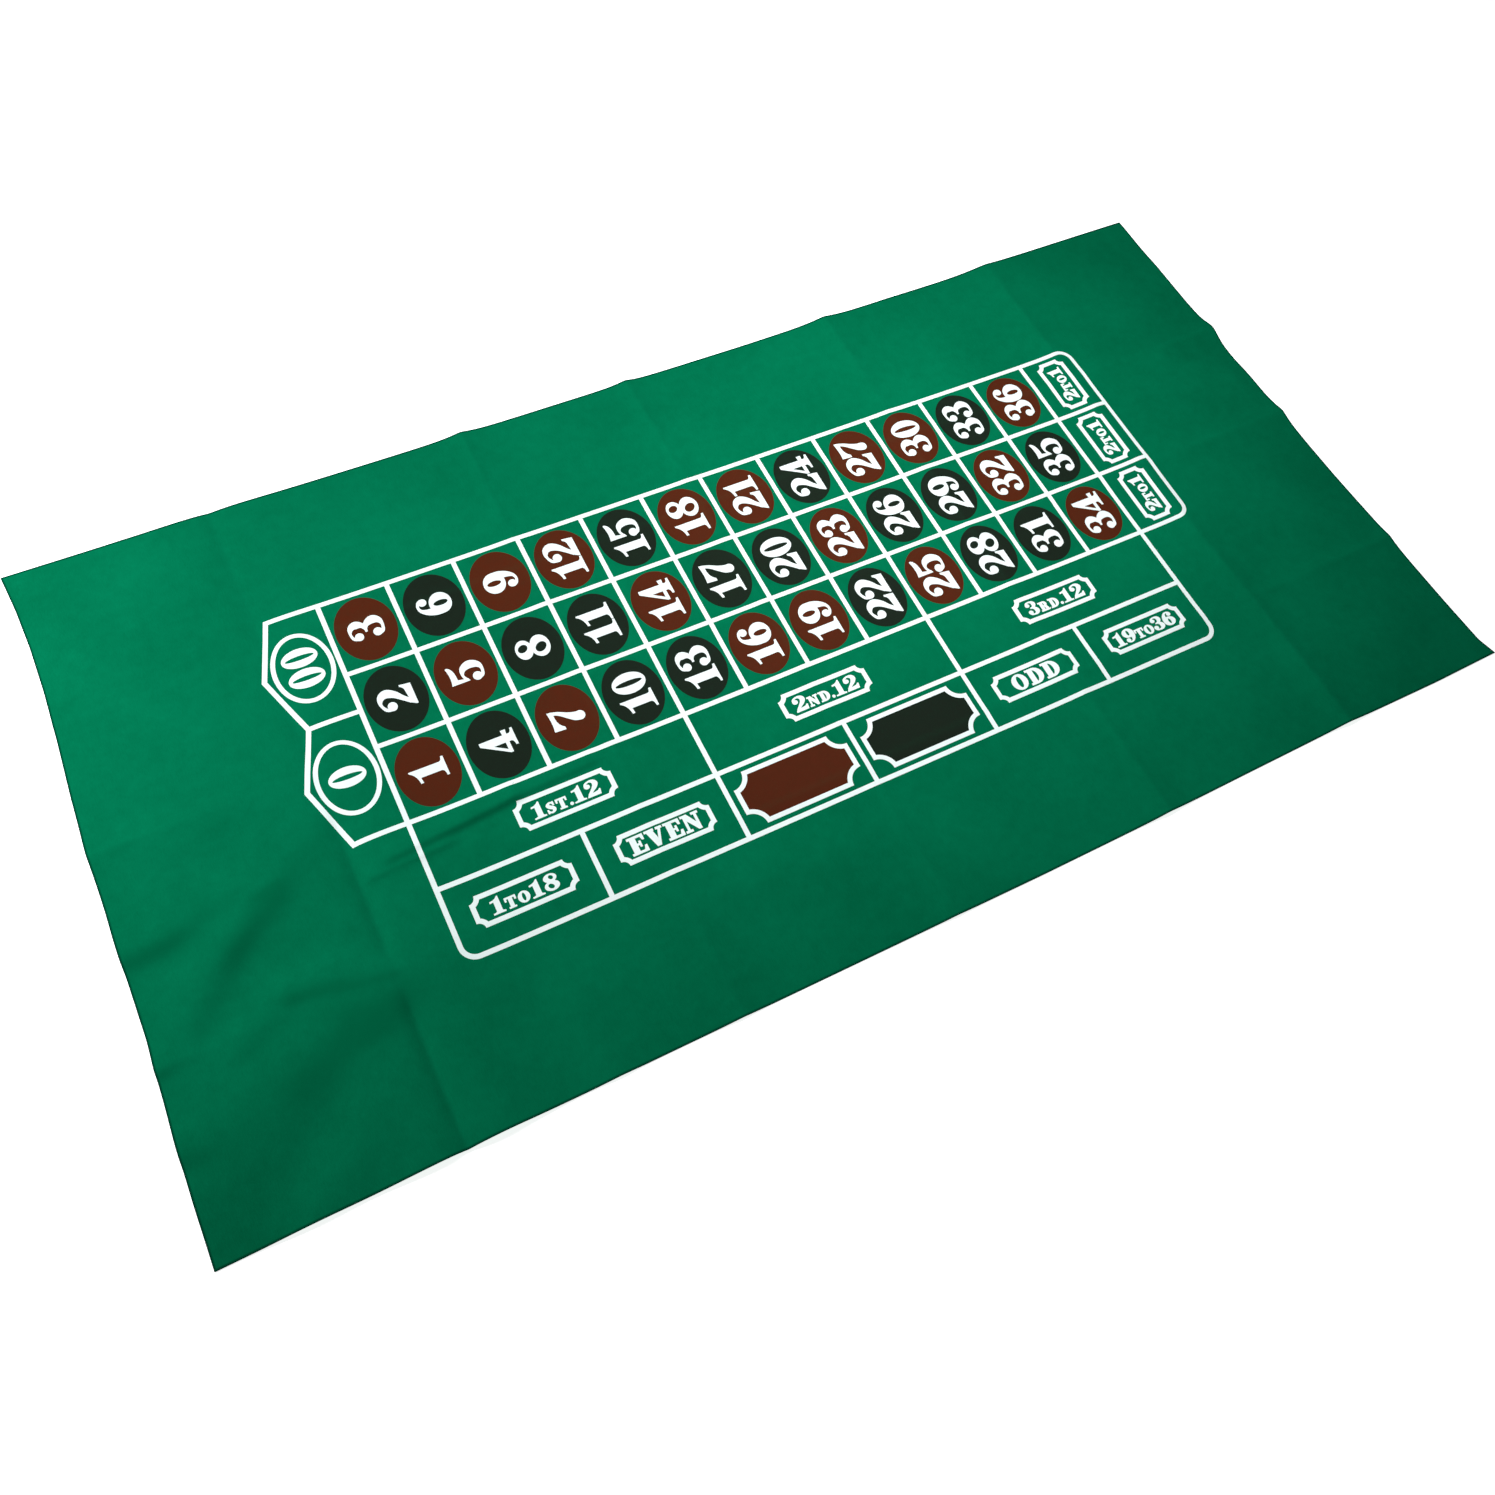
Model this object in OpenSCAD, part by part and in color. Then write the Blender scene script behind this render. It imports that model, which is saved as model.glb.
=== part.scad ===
// Double-zero roulette layout cloth: one sheet of green felt with its printed betting layout.
// The cloth lies flat with its length along X, its depth along Y and its printed face up.
// The origin is the middle of the underside. The zeros are at the -X end, and the players'
// even-money boxes are along the -Y edge. Every print is a thin film of its own on the felt.

/* [Cloth] */
// Length of the cut sheet, along X
cloth_l = 1828.8; // [1790:0.1:1900]
// Depth of the cut sheet, along Y
cloth_d = 914.4; // [880:0.1:960]
// Thickness of the felt
felt_t = 1.0; // [0.6:0.1:3]
// Thickness of one layer of print
ink_t = 0.15; // [0.1:0.05:0.3]
// How far the ink of a letter spreads into the felt past its stencil
ink_bleed = 0.15; // [0.05:0.05:0.3]

/* [Number grid] */
// Distance from the cloth's left edge to the grid's left line
grid_left = 348.0; // [340:0.5:352]
// Distance from the cloth's near edge to the grid's lower line
grid_near = 379.5; // [365:0.5:395]
// Width of one number box, along X
cell_w = 92.6; // [88:0.1:93]
// Depth of one number box, along Y
cell_d = 112.4; // [108:0.1:114]
// Width of every box line
line_w = 6.4; // [4:0.1:8]
// Length and depth of an oval number spot
spot_size = [78.8, 98]; // [60:0.1:104]
// Height of the big numerals
numeral_h = 46; // [34:0.5:50]
// Gap between the two figures of a number
figure_gap = 1.4; // [0.6:0.1:3]

/* [Zero block] */
// How far the two points of the zero block reach past the grid
point_reach = 91.8; // [88:0.1:96]
// How far its corners reach past the grid
shoulder_reach = 64.2; // [60:0.1:76]
// How far the notch between the two points reaches past the grid
notch_reach = 63.2; // [58:0.1:74]
// Outer length and depth of the oval ring round each zero
ring_size = [78.2, 105.5]; // [60:0.1:108]
// Width of that ring's line
ring_line = 5.9; // [3:0.1:8]
// Distance of the ring's middle from the grid
ring_out = 44.8; // [43:0.1:45]
// How far each ring lies beyond the middle of its half of the block
ring_shift = 2.3; // [0:0.1:3]
// Height of the zeros
zero_h = 46.2; // [36:0.1:54]
// Width of the zeros against an ordinary nought
zero_stretch = 0.89; // [0.8:0.01:1]
// Gap between the two zeros
zero_gap = 3.8; // [1:0.1:6]

/* [Outside bets] */
// Depth of the row of dozen boxes
dozen_d = 94.4; // [90:0.1:98]
// Depth of the row of even-money boxes
outside_d = 95.5; // [90:0.1:98]
// Length of the column boxes at the right-hand end
column_l = 88.2; // [80:0.1:100]
// Outer radius of the layout's round corners
corner_r = 21; // [10:0.5:26]

/* [Labels] */
// Outer length and depth of a label's frame
label_size = [130.5, 42.6]; // [115:0.1:145]
// Width of a label frame's line
label_line = 6.3; // [4:0.1:7]
// Radius of the scoop in each corner of a label's frame
label_scoop = 8.6; // [5:0.1:12]
// How far the even-money labels lie beyond the middle of their boxes
label_shift = 2.1; // [0:0.1:4]
// How much heavier the small letters are than the numerals, all round
label_weight = 0.4; // [0.1:0.05:0.5]
// Outer length and depth of a column label's frame, along its words
column_label_size = [93.8, 47]; // [90:0.1:100]
// Height of the figures on the labels
label_text_h = 21.6; // [16:0.1:25]
// Height of the words in capitals on the labels
label_word_h = 24; // [16:0.1:25]
// Outer length and depth of the red and black frames
plaque_size = [164.6, 76.8]; // [150:0.1:172]
// Width of the red and black frames' lines
plaque_line = 6.3; // [3:0.1:8]
// Radius of the scoop in each corner of the red and black frames
plaque_scoop = 20; // [10:0.5:24]

/* [Hidden] */

// Number of boxes along and across the grid
columns = 12;
rows = 3;
// The numbers that lie on a red spot; the others lie on a black one
red_numbers = [1, 3, 5, 7, 9, 12, 14, 16, 18, 19, 21, 23, 25, 27, 30, 32, 34, 36];
// The layout's ink sits on the felt, and the numerals sit on the ink of their spots
print_z = felt_t;
numeral_z = felt_t + ink_t;
// The grid's lower left corner, on the line's middle
grid_x = grid_left - cloth_l / 2;
grid_y = grid_near - cloth_d / 2;
grid_right = grid_x + columns * cell_w;
grid_top = grid_y + rows * cell_d;
dozen_y = grid_y - dozen_d;
outside_y = dozen_y - outside_d;
column_x = grid_right + column_l;
half_line = line_w / 2;
// Points on a spot or ring and on a quarter arc
spot_steps = 56;
arc_steps = 10;
// Letters are drawn 100 high, and $em turns that into millimetres along and up
$em = [1, 1];
// Points on a letter's oval and on one stretch of a pen stroke, fewer where a letter is small
$oval_steps = 36;
$pen_steps = 5;
small_letter = 30;
// Widths of the glyphs, in the order of the names in glyph_names
glyph_names = "0123456789ENODSTRV.";
glyph_widths = [67, 59, 72, 71, 72, 70, 71, 67, 72, 71, 88, 98, 96, 96, 78, 92, 98, 96, 18];
// Small capitals against full figures, and the words' own width against their height
small_cap = 0.68;
label_stretch = 1.16;
// Space between the letters of a label
label_gap = 1.4;
word_gap = 2.4;

// ---- Colours ----
felt_green = [0.0, 0.48, 0.31];
print_white = [0.95, 1.0, 0.98];
print_red = [0.4, 0.14, 0.1];
print_black = [0.12, 0.12, 0.11];

// ---- Curves ----
function em(p) = [p.x * $em.x, p.y * $em.y];
function flat(p) = [p.x, p.y];
function unit(v) = flat(v) / norm(flat(v));
// Points of an oval about c, with half-sizes r, turned by a tilt
function oval_points(c, r, tilt = 0, steps = $oval_steps) = [
    for (i = [0:steps - 1]) let (t = 360 * i / steps, x = r.x * cos(t), y = r.y * sin(t))
        [c.x + x * cos(tilt) - y * sin(tilt), c.y + x * sin(tilt) + y * cos(tilt)]
];
// Points of an arc about c from one angle to another
function arc_points(c, r, from, to) = [
    for (i = [0:arc_steps]) let (t = from + (to - from) * i / arc_steps) c + r * [cos(t), sin(t)]
];
// A smooth bend from a to c that leans towards b
function bend(a, b, c) = [
    for (i = [0:$pen_steps]) let (t = i / $pen_steps) (1 - t) * (1 - t) * a + 2 * t * (1 - t) * b + t * t * c
];
// A smooth run through knots [x, y, width]
function run_point(a, b, c, d, t) =
    0.5 * (2 * b + (c - a) * t + (2 * a - 5 * b + 4 * c - d) * t * t + (3 * b - a - 3 * c + d) * t * t * t);
function run(k) = let (n = len(k) - 1) concat(
    [for (i = [0:n - 1]) for (j = [0:$pen_steps - 1])
        run_point(k[max(i - 1, 0)], k[i], k[i + 1], k[min(i + 2, n)], j / $pen_steps)],
    [k[n]]
);
// The outline of a pen stroke along that run, as wide at each knot as the knot says
function pen_points(k) = let (
    p = run(k),
    n = len(p) - 1,
    side = [for (i = [0:n]) let (d = unit(p[min(i + 1, n)] - p[max(i - 1, 0)])) [-d.y, d.x] * p[i][2] / 2]
) concat([for (i = [0:n]) flat(p[i]) + side[i]], [for (i = [n:-1:0]) flat(p[i]) - side[i]]);

// ---- Flat shapes of the letters, in hundredths of their height ----
module shape(points) { polygon([for (p = points) em(p)]); }
module oval(c, r, tilt = 0) { shape(oval_points(c, r, tilt)); }
module pen(knots) { shape(pen_points(knots)); }
module block(a, b) { shape([a, [b.x, a.y], b, [a.x, b.y]]); }
// A heavy upright between x = 12 and 42 with slab serifs on its left
module serif_stem() {
    block([12, 0], [42, 100]);
    block([0, 0], [14, 11]);
    block([0, 89], [14, 100]);
}

module figure_0() {
    difference() {
        oval([33.5, 50], [33.5, 50]);
        oval([33.5, 50], [8.6, 41]);
    }
}
module figure_1() {
    shape(concat(
        [[0, 0], [59, 0]], bend([59, 6], [46, 7], [45, 15]),
        [[45, 100]], bend([41, 100], [31, 82], [2, 79]),
        [[2, 72], [19, 74]], bend([19, 15], [18, 7], [0, 6])
    ));
}
module figure_2() {
    oval([15, 68], [14, 13]);
    pen([
        [5, 71, 7], [10, 86, 9], [31, 96, 8], [51, 90, 19],
        [59, 73, 26], [49, 52, 21], [30, 33, 14], [13, 14, 14]
    ]);
    shape(concat(
        [[0, 0], [68, 0], [72, 31]], bend([66.5, 31], [62, 20], [46, 20]), [[22, 17], [8, 17], [0, 4]]
    ));
}
module figure_3() {
    oval([15, 76], [12.5, 12]);
    pen([
        [7, 79, 7], [14, 92, 8], [33, 96.5, 7], [50, 90, 17],
        [56, 76, 24], [50, 60, 16], [36, 52.5, 8], [25, 52, 6]
    ]);
    pen([
        [32, 52.5, 7], [48, 47, 16], [58, 27, 26], [50, 10, 18],
        [33, 4, 8], [13, 8.5, 9], [6, 20, 7]
    ]);
    oval([14, 23], [13, 12.5]);
}
module figure_4() {
    difference() {
        shape([[0, 21], [57, 21], [57, 100], [46, 100], [0, 28]]);
        shape([[11, 31], [33.5, 31], [33.5, 66]]);
    }
    block([33.5, 0], [57, 40]);
    shape([[50, 21], [72, 19], [72, 33], [50, 31]]);
    shape(concat([[17, 0], [71, 0]], bend([71, 6], [58, 7], [57, 14]), bend([33.5, 14], [32, 7], [17, 6])));
}
module figure_5() {
    shape(concat(
        bend([8, 99], [34, 92], [67, 100]), bend([68, 95], [60, 78], [21, 79]),
        bend([15, 52], [10, 47], [8, 47])
    ));
    pen([
        [12, 51, 6], [20, 58, 7], [33, 61, 8], [50, 53, 19],
        [57.5, 32, 25], [49, 11, 18], [32, 4, 8], [13, 8.5, 9], [6, 20, 7]
    ]);
    oval([14, 23], [13.5, 13]);
}
module figure_6() {
    difference() {
        union() {
            oval([35.5, 32], [35.5, 32]);
            pen([
                [13, 30, 26], [13.5, 52, 26], [18, 74, 19], [28, 91, 10],
                [42, 96.5, 7], [56, 92, 8], [63, 82, 8]
            ]);
        }
        oval([36, 31], [9.3, 21.5]);
    }
    oval([54, 80], [12, 12]);
}
module figure_7() {
    shape(concat(
        bend([4, 98], [30, 93], [67, 98]), [[65, 84]], bend([56, 83], [22, 86], [10, 66]), [[1.5, 66]]
    ));
    pen([[62, 90, 9], [54, 68, 11], [40, 47, 17], [29, 27, 26], [26.5, 12, 29]]);
    oval([26.5, 14], [14.5, 14]);
}
module figure_8() {
    difference() {
        union() {
            oval([39, 75.5], [32, 24.5]);
            oval([36, 28], [36, 28]);
        }
        oval([44, 78], [12.5, 15.5], 28);
        oval([31.5, 27], [14.5, 18.5], 35);
    }
}
module figure_9() { translate([71 * $em.x, 100 * $em.y]) rotate(180) figure_6(); }
module letter_O() {
    difference() {
        oval([48, 50], [48, 50]);
        oval([48, 50], [17, 39]);
    }
}
module letter_D() {
    serif_stem();
    difference() {
        union() {
            block([30, 0], [46, 100]);
            intersection() {
                oval([44, 50], [52, 50]);
                block([44, 0], [97, 100]);
            }
        }
        intersection() {
            oval([42, 50], [23, 39]);
            block([42, 0], [80, 100]);
        }
    }
}
module letter_E() {
    serif_stem();
    block([40, 0], [88, 11]);
    block([40, 89], [86, 100]);
    shape([[88, 5], [88, 34], [78, 34], [68, 5]]);
    shape([[86, 95], [86, 68], [77, 68], [68, 95]]);
    block([40, 46], [58, 55]);
    block([55, 34], [64, 67]);
}
module letter_N() {
    block([12, 0], [24, 100]);
    block([74, 0], [86, 100]);
    shape([[4, 100], [36, 100], [86, 16], [86, 0], [70, 0]]);
    block([0, 0], [36, 11]);
    block([0, 89], [36, 100]);
    block([62, 89], [98, 100]);
}
module letter_R() {
    serif_stem();
    block([10, 0], [52, 11]);
    difference() {
        union() {
            block([30, 46], [52, 100]);
            oval([52, 73], [34, 27]);
        }
        oval([49, 72.5], [10, 16.5]);
    }
    shape(concat(
        bend([56, 50], [84, 52], [85, 24]), bend([85, 10], [92, 8], [98, 13]),
        bend([98, 4], [92, 0], [80, 0]), bend([58, 0], [56, 10], [56, 26]), [[52, 46]]
    ));
}
module letter_S() {
    pen([
        [68, 76, 10], [54, 93, 11], [36, 93, 14], [18, 76, 25], [34, 57, 28],
        [56, 43, 28], [63, 24, 26], [46, 7, 14], [26, 8, 11], [9, 26, 10]
    ]);
    block([63, 66], [73, 99]);
    block([4, 1], [14, 36]);
}
module letter_T() {
    block([31, 0], [61, 100]);
    block([17, 0], [75, 11]);
    block([0, 88], [92, 100]);
    block([0, 66], [11, 100]);
    block([81, 66], [92, 100]);
}
module letter_V() {
    shape([[8, 98], [42, 98], [58, 36], [78, 98], [90, 98], [58, 0], [38, 0]]);
    block([0, 89], [50, 100]);
    block([64, 89], [96, 100]);
}
module full_stop() { oval([9, 9], [9, 9]); }

module glyph(c) {
    if (c == "0") figure_0();
    if (c == "1") figure_1();
    if (c == "2") figure_2();
    if (c == "3") figure_3();
    if (c == "4") figure_4();
    if (c == "5") figure_5();
    if (c == "6") figure_6();
    if (c == "7") figure_7();
    if (c == "8") figure_8();
    if (c == "9") figure_9();
    if (c == "D") letter_D();
    if (c == "E") letter_E();
    if (c == "N") letter_N();
    if (c == "O") letter_O();
    if (c == "R") letter_R();
    if (c == "S") letter_S();
    if (c == "T") letter_T();
    if (c == "V") letter_V();
    if (c == ".") full_stop();
}

// ---- Rows of letters ----
function glyph_width(c) = glyph_widths[search(c, glyph_names)[0]];
// Where the i-th letter of a row starts: a letter is [name, height, stretch]
function letter_width(l) = glyph_width(l[0]) * l[1] * l[2] / 100;
function letter_start(row, i, gap) =
    i == 0 ? 0 : letter_start(row, i - 1, gap) + letter_width(row[i - 1]) + gap;
function figures(s, h, stretch = 1) = [for (c = s) [c, h, stretch]];
// Letters side by side, centred on the origin by the height of the first one
module letters(row, gap) {
    last = len(row) - 1;
    long = letter_start(row, last, gap) + letter_width(row[last]);
    for (i = [0:last])
        translate([letter_start(row, i, gap) - long / 2, -row[0][1] / 2]) {
            h = row[i][1];
            $em = [h * row[i][2] / 100, h / 100];
            $oval_steps = h < small_letter ? 20 : 36;
            $pen_steps = h < small_letter ? 3 : 5;
            offset(delta = h < small_letter ? label_weight : ink_bleed) glyph(row[i][0]);
        }
}
module print(z = print_z) { translate([0, 0, z]) linear_extrude(ink_t) children(); }

// ---- Lines and frames ----
module rule(a, b) {
    translate([min(a.x, b.x) - half_line, min(a.y, b.y) - half_line])
        square([abs(a.x - b.x) + line_w, abs(a.y - b.y) + line_w]);
}
// A rectangle whose corners are scooped out by a circle about each corner
module scooped(size, scoop, inset = 0) {
    difference() {
        square(size - 2 * [inset, inset], center = true);
        for (x = [-1, 1], y = [-1, 1])
            translate([x * size.x / 2, y * size.y / 2]) circle(scoop + inset, $fn = 64);
    }
}
module scooped_frame(size, line, scoop) {
    difference() {
        scooped(size, scoop);
        scooped(size, scoop, line);
    }
}
// The middle of number n's box
function box_middle(n) = [
    grid_x + (floor((n - 1) / rows) + 0.5) * cell_w,
    grid_y + ((n - 1) % rows + 0.5) * cell_d
];
function is_red(n) = len(search(n, red_numbers)) > 0;
module spots(reds) {
    for (n = [1:columns * rows])
        if (is_red(n) == reds) polygon(oval_points(box_middle(n), spot_size / 2, steps = spot_steps));
}
// The numerals of one row are read from the zero end's left side, so they are turned a quarter
module row_numerals(first) {
    color(print_white) print(numeral_z)
        for (i = [0:columns - 1])
            translate(box_middle(first + rows * i)) rotate(90)
                letters(figures(str(first + rows * i), numeral_h), figure_gap);
}
module ring(y) {
    c = [grid_x - ring_out, y];
    difference() {
        polygon(oval_points(c, ring_size / 2, steps = spot_steps));
        polygon(oval_points(c, ring_size / 2 - [ring_line, ring_line], steps = spot_steps));
    }
}
module label(size, row, gap) {
    scooped_frame(size, label_line, label_scoop);
    letters(row, gap);
}
// A label in an outside box, which is counted in numbers' widths from the grid's left line
module outside_label(boxes, y, row, gap) {
    color(print_white) print() translate([grid_x + boxes * cell_w, y]) label(label_size, row, gap);
}
// A label in the even-money row
module even_money_label(boxes, row, gap) { outside_label(boxes, outside_middle + label_shift, row, gap); }
// A column box's label, which is read along the column as the numerals are
module column_label(row) {
    middle = [grid_right + (column_l + half_line) / 2, grid_y + (row - 0.5) * cell_d];
    color(print_white) print() translate(middle) rotate(90)
        label(column_label_size, range_row("2", "1"), label_gap);
}
module plaque(boxes) {
    translate([grid_x + boxes * cell_w, outside_middle]) children();
}
dozen_middle = grid_y - dozen_d / 2;
outside_middle = dozen_y - outside_d / 2;
function dozen_row(number, ending) = concat(
    figures(number, label_text_h, label_stretch),
    figures(ending, label_text_h * small_cap),
    figures(".", label_text_h),
    figures("12", label_text_h, label_stretch)
);
function range_row(low, high) = concat(
    figures(low, label_text_h, label_stretch),
    figures("TO", label_text_h * small_cap),
    figures(high, label_text_h, label_stretch)
);

// ---- Sub-parts ----
module felt_cloth() {
    color(felt_green) translate([-cloth_l / 2, -cloth_d / 2, 0]) cube([cloth_l, cloth_d, felt_t]);
}
module number_grid_lines() {
    color(print_white) print() {
        for (i = [0:columns]) rule([grid_x + i * cell_w, grid_y], [grid_x + i * cell_w, grid_top]);
        for (j = [0:rows]) rule([grid_x, grid_y + j * cell_d], [grid_right, grid_y + j * cell_d]);
    }
}
// The two-pointed outline, which meets the grid's left line
module zero_block_outline() {
    half = rows * cell_d / 2;
    middle = grid_y + half;
    // The outline's corners on the middle of its line, from the lower one to the upper one
    corners = [
        [0, -half], [-shoulder_reach, -half], [-point_reach, -half / 2],
        [-notch_reach, 0], [-point_reach, half / 2], [-shoulder_reach, half], [0, half]
    ];
    // Slanted lines are as wide as straight ones, so each corner moves out by its mitre
    function edge_side(i) = let (d = unit(corners[i + 1] - corners[i])) [d.y, -d.x];
    function mitre(i) = let (a = edge_side(max(i - 1, 0)), b = edge_side(min(i, 5)))
        (a + b) / (1 + a * b) * half_line;
    color(print_white) print() translate([grid_x - half_line, middle]) {
        polygon(concat(
            [for (i = [0:6]) corners[i] + mitre(i)],
            [for (i = [6:-1:0]) corners[i] - mitre(i)]
        ));
        translate([-notch_reach, -half_line]) square([notch_reach, line_w]);
    }
}
module dozen_bet_lines() {
    top = grid_y - line_w;
    color(print_white) print() {
        rule([grid_x, dozen_y], [grid_right, dozen_y]);
        for (i = [0, 4, 8, 12]) rule([grid_x + i * cell_w, dozen_y], [grid_x + i * cell_w, top]);
    }
}
// The even-money boxes: dividers and a bottom line with round outer corners
module outside_bet_lines() {
    top = dozen_y - line_w;
    color(print_white) print() {
        for (i = [2:2:10]) rule([grid_x + i * cell_w, outside_y], [grid_x + i * cell_w, top]);
        difference() {
            round_bottom(corner_r, 0);
            round_bottom(corner_r - line_w, line_w);
        }
    }
}
// The even-money row's outer shape, open at the dozen row, drawn in by an inset
module round_bottom(r, inset) {
    left = grid_x - half_line + inset;
    right = grid_right + half_line - inset;
    low = outside_y - half_line + inset;
    high = dozen_y - half_line;
    polygon(concat(
        [[right, high], [left, high]],
        arc_points([left + r, low + r], r, 180, 270),
        arc_points([right - r, low + r], r, 270, 360)
    ));
}
// The three column boxes: dividers and a right-hand line with round outer corners
module column_bet_lines() {
    left = grid_right + line_w;
    color(print_white) print() {
        for (j = [1:rows - 1]) rule([left, grid_y + j * cell_d], [column_x, grid_y + j * cell_d]);
        difference() {
            round_end(corner_r, 0);
            round_end(corner_r - line_w, line_w);
        }
    }
}
module round_end(r, inset) {
    left = grid_right + half_line;
    right = column_x + half_line - inset;
    low = grid_y - half_line + inset;
    high = grid_top + half_line - inset;
    polygon(concat(
        [[left, high], [left, low]],
        arc_points([right - r, low + r], r, 270, 360),
        arc_points([right - r, high - r], r, 0, 90)
    ));
}
module red_number_spots() { color(print_red) print() spots(true); }
module black_number_spots() { color(print_black) print() spots(false); }
module top_row_numerals() { row_numerals(3); }
module middle_row_numerals() { row_numerals(2); }
module bottom_row_numerals() { row_numerals(1); }
// The zero lies nearer the players, the double zero beyond it
zero_y = grid_y + 0.25 * rows * cell_d + ring_shift;
double_zero_y = grid_y + 0.75 * rows * cell_d + ring_shift;
module zeros(s, y) {
    color(print_white) print()
        translate([grid_x - ring_out, y]) rotate(90) letters(figures(s, zero_h, zero_stretch), zero_gap);
}
module zero_ring() { color(print_white) print() ring(zero_y); }
module zero_numeral() { zeros("0", zero_y); }
module double_zero_ring() { color(print_white) print() ring(double_zero_y); }
module double_zero_numerals() { zeros("00", double_zero_y); }
module first_dozen_label() { outside_label(2, dozen_middle, dozen_row("1", "ST"), word_gap); }
module second_dozen_label() { outside_label(6, dozen_middle, dozen_row("2", "ND"), word_gap); }
module third_dozen_label() { outside_label(10, dozen_middle, dozen_row("3", "RD"), word_gap); }
module low_bet_label() { even_money_label(1, range_row("1", "18"), word_gap); }
module even_bet_label() { even_money_label(3, figures("EVEN", label_word_h), word_gap); }
module odd_bet_label() { even_money_label(9, figures("ODD", label_word_h), word_gap); }
module high_bet_label() { even_money_label(11, range_row("19", "36"), label_gap); }
module red_bet_plaque() {
    color(print_red) print() plaque(5) scooped(plaque_size, plaque_scoop, plaque_line);
}
module red_bet_frame() {
    color(print_white) print() plaque(5) scooped_frame(plaque_size, plaque_line, plaque_scoop);
}
module black_bet_plaque() {
    color(print_black) print() plaque(7) scooped(plaque_size, plaque_scoop, plaque_line);
}
module black_bet_frame() {
    color(print_white) print() plaque(7) scooped_frame(plaque_size, plaque_line, plaque_scoop);
}
module bottom_column_label() { column_label(1); }
module middle_column_label() { column_label(2); }
module top_column_label() { column_label(3); }

felt_cloth();
number_grid_lines();
zero_block_outline();
dozen_bet_lines();
outside_bet_lines();
column_bet_lines();
red_number_spots();
black_number_spots();
top_row_numerals();
middle_row_numerals();
bottom_row_numerals();
zero_ring();
zero_numeral();
double_zero_ring();
double_zero_numerals();
first_dozen_label();
second_dozen_label();
third_dozen_label();
low_bet_label();
even_bet_label();
odd_bet_label();
high_bet_label();
red_bet_plaque();
red_bet_frame();
black_bet_plaque();
black_bet_frame();
bottom_column_label();
middle_column_label();
top_column_label();
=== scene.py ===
"""A felt cloth printed with a double-zero number layout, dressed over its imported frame.

The frame holds the cloth as one flat sheet and every print as a thin flat piece. Here the sheet is
laid on a floor as a cloth that was kept folded lies: with standing folds, soft swells and a slightly
skewed end. Each print is cut on the sheet's own grid and follows the same surface.
"""

import logging
import math
from collections.abc import Iterable, Sequence
from dataclasses import dataclass, field
from enum import Enum

import bmesh
import bpy
import numpy as np
from bpy.types import Material, Mesh, Node, NodeSocket, NodeTree, Object
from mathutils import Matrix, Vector


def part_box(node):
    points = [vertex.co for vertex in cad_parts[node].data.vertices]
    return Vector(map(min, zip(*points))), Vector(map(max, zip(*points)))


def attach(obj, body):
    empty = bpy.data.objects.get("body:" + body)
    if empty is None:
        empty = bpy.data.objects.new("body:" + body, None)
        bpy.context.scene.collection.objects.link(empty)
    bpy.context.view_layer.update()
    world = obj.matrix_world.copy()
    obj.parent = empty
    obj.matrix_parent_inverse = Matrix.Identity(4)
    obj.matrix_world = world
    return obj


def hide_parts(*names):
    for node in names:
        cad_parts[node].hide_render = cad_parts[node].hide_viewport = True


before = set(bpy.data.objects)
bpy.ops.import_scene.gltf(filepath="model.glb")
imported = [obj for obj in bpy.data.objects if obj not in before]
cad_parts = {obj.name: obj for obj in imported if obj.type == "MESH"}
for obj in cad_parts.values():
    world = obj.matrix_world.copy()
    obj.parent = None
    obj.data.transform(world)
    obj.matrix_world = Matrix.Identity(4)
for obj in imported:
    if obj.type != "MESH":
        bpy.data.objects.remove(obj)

log = logging.getLogger("layout_cloth")

CLOTH = "felt_cloth"
# the fold mark gives the felt a painted highlight along each fold and rubs the prints' ink there
FOLD_ATTRIBUTE = "fold"
# the rim mark gives the felt a painted shade along its cut edge
RIM_ATTRIBUTE = "rim"
# the crease mark carries painted shade: dark bands on the near flanks of the swells
FLANK_SHADE_ATTRIBUTE = "crease"

MERGE_DISTANCE = 1e-6  # metres, for doubled vertices and for a cut through a vertex
LEVEL_FACE = 0.5  # least upward part of a face's normal that counts as lying flat
NODES_IN_ROW = 6  # of a node tree
NODE_STEP = (220, 240)  # between the nodes of a tree

Colour = tuple[float, float, float]
Place = tuple[float, float, float]
Point = tuple[float, float]
Feed = NodeSocket | float | Place
Names = tuple[str, ...]


class Run(Enum):
    """Which way a fold runs over the cloth."""

    ACROSS = "from the near edge to the far edge"
    ALONG = "from the left end to the right end"


class Slot(Enum):
    """The cloth's material slots."""

    FELT = "felt"
    WHITE = "white_ink"
    RED = "red_ink"
    BLACK = "black_ink"


# ---- The way the cloth lies ----


@dataclass(frozen=True)
class Spots:
    """Places on the flat cloth.

    Attributes:
        x: Where they are along the cloth, in metres.
        y: Where they are across it.
        half: Half the cloth's length and half its depth.
    """

    x: np.ndarray
    y: np.ndarray
    half: Point


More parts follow.
